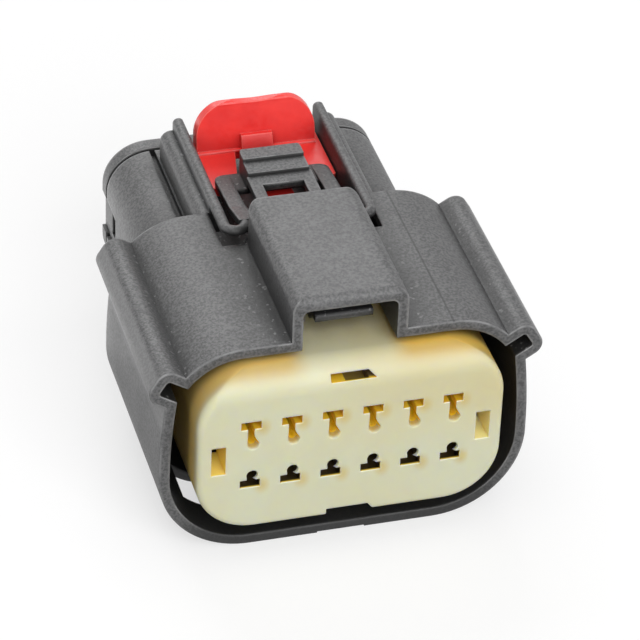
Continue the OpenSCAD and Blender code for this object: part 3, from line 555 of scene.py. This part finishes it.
def paint_light_in_openings(tree, place, in_rows, face_colour):
    """The face's colour with painted light in the openings: gold glow on the walls, pale highlight on
    the cones, brown painted shade in the hollows.
    """
    slots = product(tree, between(tree, place["X"], OPENINGS_HALF_MM),
                    between(tree, place["Z"], OPENINGS_ABOVE_MM))
    over_key = calc(tree, "SUBTRACT", place["Z"], KEY_SLOT_MIDDLE_MM)
    key = product(tree, between(tree, place["X"], KEY_SLOT_HALF_MM),
                  between(tree, over_key, KEY_SLOT_ROOM_MM))
    walls = product(tree, strongest(tree, slots, key),
                    spread(tree, facing(tree)["Y"], WALL_FACES_FRONT),
                    spread(tree, place["Y"], WALL_BEHIND_MM))
    lower_slots = product(tree, in_rows, spread(tree, place["Z"], LOWER_TOP_MM, FADING))
    cones = product(tree, lower_slots, spread(tree, place["Z"], CONE_LOW_MM))
    gold = tint(tree, cones, painted_slot_glow(tree, place), CREAM_HIGHLIGHT)
    glow_lit = tint(tree, walls, face_colour, gold)
    past_cone = calc(tree, "SUBTRACT", place["Y"], product(tree, cones, CONE_DEEP_MM))
    in_slots = product(tree, lower_slots, spread(tree, past_cone, LOWER_SHADE_BEHIND_MM))
    behind_ledge = product(tree, key, spread(tree, place["X"], KEY_LEDGE_END_MM),
                           spread(tree, place["Y"], KEY_LEDGE_BEHIND_MM))
    hollows = product(tree, walls, strongest(tree, in_slots, behind_ledge))
    return tint(tree, hollows, glow_lit, SHADE_BROWN)


def cream_moulding():
    """Natural polyester that light soaks into, with painted glow: gold in its openings, amber under the
    roof.
    """
    material, tree, shader = new_material(
        "cream_moulding", IOR=POLYESTER_IOR, Subsurface_Weight=1.0,
        Subsurface_Scale=0.6 * MM, Subsurface_Radius=(1.0, 0.85, 0.35))
    grain = use(tree, MOULDED_GRAIN, Grain_mm=0.35, Cloud_mm=6.0)
    place = face_place(tree)
    shoulders = lock_shoulders(tree, place)
    edges = use(tree, SOFT_EDGES, Radius=spread(tree, shoulders, WHOLE, EDGE_TO_SHOULDER_RADIUS))
    hollow = use(tree, RECESS, Reach=4.0 * MM)["Depth"]
    in_rows = between(tree, place["X"], SLOT_ROWS_MM)
    feet = slot_feet(tree, place, in_rows)
    body = tint(tree, warmth(tree, place, grain["Cloud"]), CREAM, CREAM_WARM)
    # Painted shade beside the slots' bars
    patch_shaded = tint(tree, painted_patch_shade(tree, place), body, SHADE_PATCH_AMBER)
    sharp = calc(tree, "SUBTRACT", 1.0, strongest(tree, shoulders, feet))
    # Painted highlight along the sharp edges
    highlighted = tint(tree, product(tree, edges["Edge"], sharp, EDGE_HIGHLIGHT_SHARE), patch_shaded, CREAM_HIGHLIGHT)
    # Painted shade, tan deeper in the slots' feet
    in_feet = product(tree, feet, spread(tree, place["Y"], FOOT_BEHIND_MM))
    flared = tint(tree, in_feet, highlighted, FOOT_SHADE_TAN)
    # Painted glow: amber under the roof, brighter deeper in shade
    amber = tint(tree, spread(tree, hollow, GLOW_DEPTH), AMBER, AMBER_GLOW)
    glowing = tint(tree, roof_glow(tree, place), flared, amber)
    # Painted shade, brown, deep inside
    inside = product(tree, spread(tree, hollow, INSIDE_DEPTH),
                     spread(tree, place["Y"], INSIDE_BEHIND_MM), INSIDE_SHARE)
    shaded = tint(tree, inside, glowing, SHADE_BROWN)
    colour = paint_light_in_openings(tree, place, in_rows, shaded)
    roughness = spread(tree, grain["Cloud"], WHOLE, CREAM_ROUGHNESS)
    finish_surface(tree, shader, colour, roughness, grain["Height"], edges["Normal"],
                   SMOOTH_GRAIN_DEPTH)
    return material


# Red and grey

def red_moulding():
    """Glossy dyed polyester: deeper in patches, painted shade low on its front, painted highlight along
    its edges.
    """
    material, tree, shader = new_material("red_moulding", IOR=POLYESTER_IOR)
    grain = use(tree, MOULDED_GRAIN, Grain_mm=0.5, Cloud_mm=3.0)
    edges = use(tree, SOFT_EDGES, Radius=0.15 * MM)
    hollow = use(tree, RECESS, Reach=4.0 * MM)["Depth"]
    body = tint(tree, grain["Cloud"], RED_DEEP, RED)
    # Painted shade on front faces, deepest in hollows
    to_front = spread(tree, facing(tree)["Y"], RED_FACES_FRONT, FADING)
    shade = product(tree, to_front, spread(tree, hollow, RED_SHADE_DEPTH, RED_SHADE_LEAST_TO_MOST))
    shaded = tint(tree, shade, body, RED_SHADE)
    # Painted highlight along the edges
    colour = tint(tree, product(tree, edges["Edge"], RED_EDGE_SHARE), shaded, RED_EDGE_HIGHLIGHT)
    roughness = spread(tree, grain["Speck"], WHOLE, RED_ROUGHNESS)
    finish_surface(tree, shader, colour, roughness, grain["Height"], edges["Normal"],
                   SMOOTH_GRAIN_DEPTH)
    return material


def grey_silicone():
    """Satin silicone rubber with a faint bloom of talc."""
    material, tree, shader = new_material("grey_silicone", IOR=SILICONE_IOR)
    grain = use(tree, MOULDED_GRAIN, Grain_mm=0.3, Cloud_mm=2.5)
    edges = use(tree, SOFT_EDGES, Radius=0.12 * MM)
    colour = tint(tree, grain["Cloud"], SILICONE_DEEP, SILICONE)
    roughness = spread(tree, grain["Speck"], WHOLE, SILICONE_ROUGHNESS)
    finish_surface(tree, shader, colour, roughness, grain["Height"], edges["Normal"],
                   SMOOTH_GRAIN_DEPTH)
    return material


def dress_nodes():
    """Gives each CAD piece its finish."""
    silicone = grey_silicone()
    finishes = {
        "housing": charcoal_moulding("charcoal_moulding", grain_mm=0.24, grain_depth=0.030 * MM),
        "rear_cap": charcoal_moulding("charcoal_cap", grain_mm=0.20, grain_depth=0.016 * MM),
        "terminal_lock": cream_moulding(),
        "position_lock": red_moulding(),
        "ring_seal": silicone,
        "mat_seal": silicone,
    }
    for name, material in finishes.items():
        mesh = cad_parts[name].data
        mesh.materials.clear()
        mesh.materials.append(material)


# Camera and studio

def make_camera():
    """Camera that puts the middle of the mating face on its pixel in the photograph's frame."""
    azimuth, elevation, roll = (math.radians(a) for a in (VIEW_AZIMUTH, VIEW_ELEVATION, VIEW_ROLL))
    forward = Vector((-math.sin(azimuth) * math.cos(elevation),
                      math.cos(azimuth) * math.cos(elevation),
                      -math.sin(elevation)))
    level = Vector((math.cos(azimuth), math.sin(azimuth), 0.0))
    upright = level.cross(forward)
    right = math.cos(roll) * level - math.sin(roll) * upright
    up = math.sin(roll) * level + math.cos(roll) * upright
    per_px = VIEW_DISTANCE / FOCAL_PX
    aside = (FACE_CENTRE_PX[0] - PICTURE_PX / 2) * per_px
    above = (PICTURE_PX / 2 - FACE_CENTRE_PX[1]) * per_px
    eye = FACE_CENTRE - aside * right - above * up - VIEW_DISTANCE * forward
    data = bpy.data.cameras.new("photo_camera")
    data.sensor_width = SENSOR_MM
    data.lens = FOCAL_PX * SENSOR_MM / PICTURE_PX
    data.clip_start = NEAREST_SEEN
    camera = bpy.data.objects.new("photo_camera", data)
    rotation = Matrix((right, up, -forward)).transposed()
    camera.matrix_world = Matrix.Translation(eye) @ rotation.to_4x4()
    bpy.context.scene.collection.objects.link(camera)
    bpy.context.scene.camera = camera


def seen_directly(tree):
    """1 where the camera sees a surface, or sees it mirrored or through something, else 0."""
    rays = add_node(tree, "LightPath").outputs
    return strongest(tree, rays["Is Camera Ray"], rays["Is Glossy Ray"], rays["Is Transmission Ray"])


def make_floor():
    """Pale floor that takes the shadow, lifted to white for the eye only."""
    bpy.ops.mesh.primitive_plane_add(size=FLOOR_SIZE)
    floor = bpy.context.object
    floor.name = "floor"
    floor.location.z = -FLOOR_DROP
    material, tree, shader = new_material("pale_floor", Roughness=0.9, Specular_IOR_Level=0.0)
    shade = spread(tree, noise(tree, FLOOR_CLOUD_MM), WHOLE, FLOOR_PAPER)
    paper = add_node(tree, "CombineColor", {0: shade, 1: shade, 2: shade})
    feed(tree, shader.inputs["Base Color"], paper.outputs[0])
    feed(tree, shader.inputs["Emission Color"], WHITE)
    feed(tree, shader.inputs["Emission Strength"], product(tree, seen_directly(tree), FLOOR_LIFT))
    floor.data.materials.append(material)


def make_sky():
    """White room: plain light on the object, and white where it is seen or mirrored."""
    world = bpy.data.worlds.new("studio")
    world.use_nodes = True
    tree = world.node_tree
    sky = tree.nodes["Background"]
    strength = spread(tree, seen_directly(tree), WHOLE, SKY_UNSEEN_TO_SEEN)
    feed(tree, sky.inputs["Color"], WHITE)
    feed(tree, sky.inputs["Strength"], strength)
    bpy.context.scene.world = world


def add_softbox(name, place, target, size, watts):
    """Square lamp at a place, turned to its target. All in metres and watts."""
    data = bpy.data.lights.new(name, "AREA")
    data.shape = "SQUARE"
    data.size = size
    data.energy = watts
    lamp = bpy.data.objects.new(name, data)
    lamp.location = place
    lamp.rotation_euler = (Vector(target) - Vector(place)).to_track_quat("-Z", "Y").to_euler()
    bpy.context.scene.collection.objects.link(lamp)


def make_studio():
    """Floor, room and lamps."""
    make_floor()
    make_sky()
    add_softbox("softbox_back", place=(-0.03, 0.53, 0.42), target=LIT_POINT, size=0.45, watts=1.8)
    add_softbox("softbox_above", place=(-0.12, -0.10, 0.70), target=LIT_POINT, size=0.50, watts=0.8)
    add_softbox("softbox_front", place=(0.05, -0.58, 0.40), target=LIT_POINT, size=0.50, watts=3.9)
    add_softbox("table_glow", place=GLOW_PLACE, target=GLOW_TARGET, size=0.24, watts=0.18)
    bpy.context.scene.view_settings.view_transform = "Standard"


dress_nodes()
make_camera()
make_studio()
